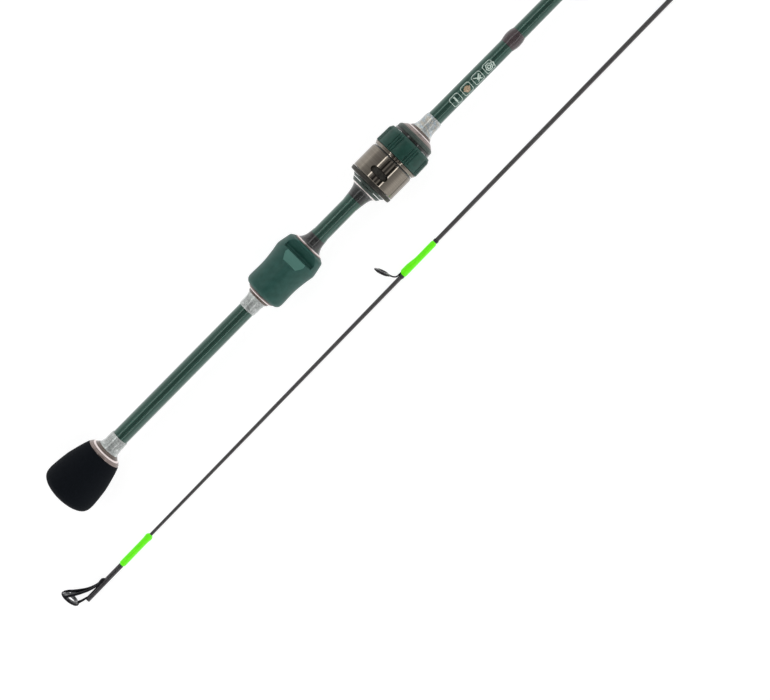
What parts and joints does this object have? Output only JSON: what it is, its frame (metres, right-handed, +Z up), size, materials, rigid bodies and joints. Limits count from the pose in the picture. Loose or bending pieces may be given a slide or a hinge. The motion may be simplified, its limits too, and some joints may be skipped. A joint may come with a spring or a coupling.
{
  "type": "fishing rod",
  "caption": "Two-piece ultralight spinning rod laid apart: foam knob grip, open reel seat with a locking nut and sliding hood, and a slim tip section with line guides.",
  "frame": {"origin": "on the surface that the rod lies on, under the middle of its bounding box", "axes": "+X along the handle section from its grip to its ferrule, +Z up, the way the reel seat faces; the tip section lies on the -Y side"},
  "size_m": [0.811, 0.0618, 0.0378],
  "materials": {
    "green_gloss": "clear-coated green blank",
    "green_matte": "satin moulded",
    "foam": "fine closed-cell foam",
    "gunmetal": "polished and tinted",
    "brown_thread": "thread under clear epoxy",
    "silver_cloth": "silver woven cloth under clear epoxy",
    "carbon": "marbled carbon under clear coat",
    "shroud_metal": "polished, warm grey",
    "tip_charcoal": "charcoal blank",
    "neon_thread": "neon green thread under clear epoxy",
    "guide_black": "black plated steel",
    "ceramic": "polished dark ceramic"
  },
  "bodies": {
    "handle_section": {"handle_blank": "green_gloss", "ferrule_socket": "green_gloss", "rear_hood": "green_matte", "seat_collar": "green_matte", "seat_flange": "green_matte", "seat_end_ring": "green_matte", "grip_knob": "foam", "grip_check": "gunmetal", "rear_check": "gunmetal", "rear_hood_trim": "gunmetal", "front_check": "gunmetal", "seat_check": "gunmetal", "blank_band": "gunmetal", "ferrule_end_trim": "gunmetal", "grip_wind": "brown_thread", "rear_wind": "brown_thread", "seat_wind": "brown_thread", "grip_sleeve": "silver_cloth", "rear_sleeve": "silver_cloth", "seat_sleeve": "silver_cloth", "rear_cone": "carbon", "front_cone": "carbon", "seat_core": "carbon", "seat_shroud": "shroud_metal", "handle_guide_wrap_front": "neon_thread", "handle_guide_wrap_rear": "neon_thread", "ferrule_wrap": "neon_thread", "handle_guide_frame": "guide_black", "handle_guide_insert": "ceramic"},
    "moving_hood": {"moving_hood": "carbon"},
    "locking_nut": {"locking_nut": "green_matte", "nut_bezel": "shroud_metal"},
    "tip_section": {"tip_blank": "tip_charcoal", "ferrule_plug": "carbon", "plug_wrap": "neon_thread", "tip_top_frame": "guide_black", "tip_top_insert": "ceramic", "tip_top_wrap": "neon_thread", "tip_guide_1_frame": "guide_black", "tip_guide_1_insert": "ceramic", "tip_guide_1_wrap": "neon_thread", "tip_guide_2_frame": "guide_black", "tip_guide_2_insert": "ceramic", "tip_guide_2_wrap": "neon_thread", "tip_guide_3_frame": "guide_black", "tip_guide_3_insert": "ceramic", "tip_guide_3_wrap": "neon_thread"}
  },
  "joints": [
    {"name": "nut_turn", "type": "hinge", "parent": "handle_section", "child": "locking_nut", "pos_m": [-0.12448, 0.01648, 0.0144], "axis": [1, 0, 0], "range_deg": [-1080, 450]},
    {"name": "hood_slide", "type": "slide", "parent": "handle_section", "child": "moving_hood", "axis": [1, 0, 0], "range_m": [-0.00251, 0.00601]},
    {"name": "tip_swing", "type": "hinge", "parent": "handle_section", "child": "tip_section", "pos_m": [0.38817, -0.00306, 0.0144], "axis": [0, 0, 1], "range_deg": [0, 179.52]}
  ],
  "couplings": [
    {"joint": "hood_slide", "follows": "nut_turn", "m_per_rad": -0.0003183}
  ]
}
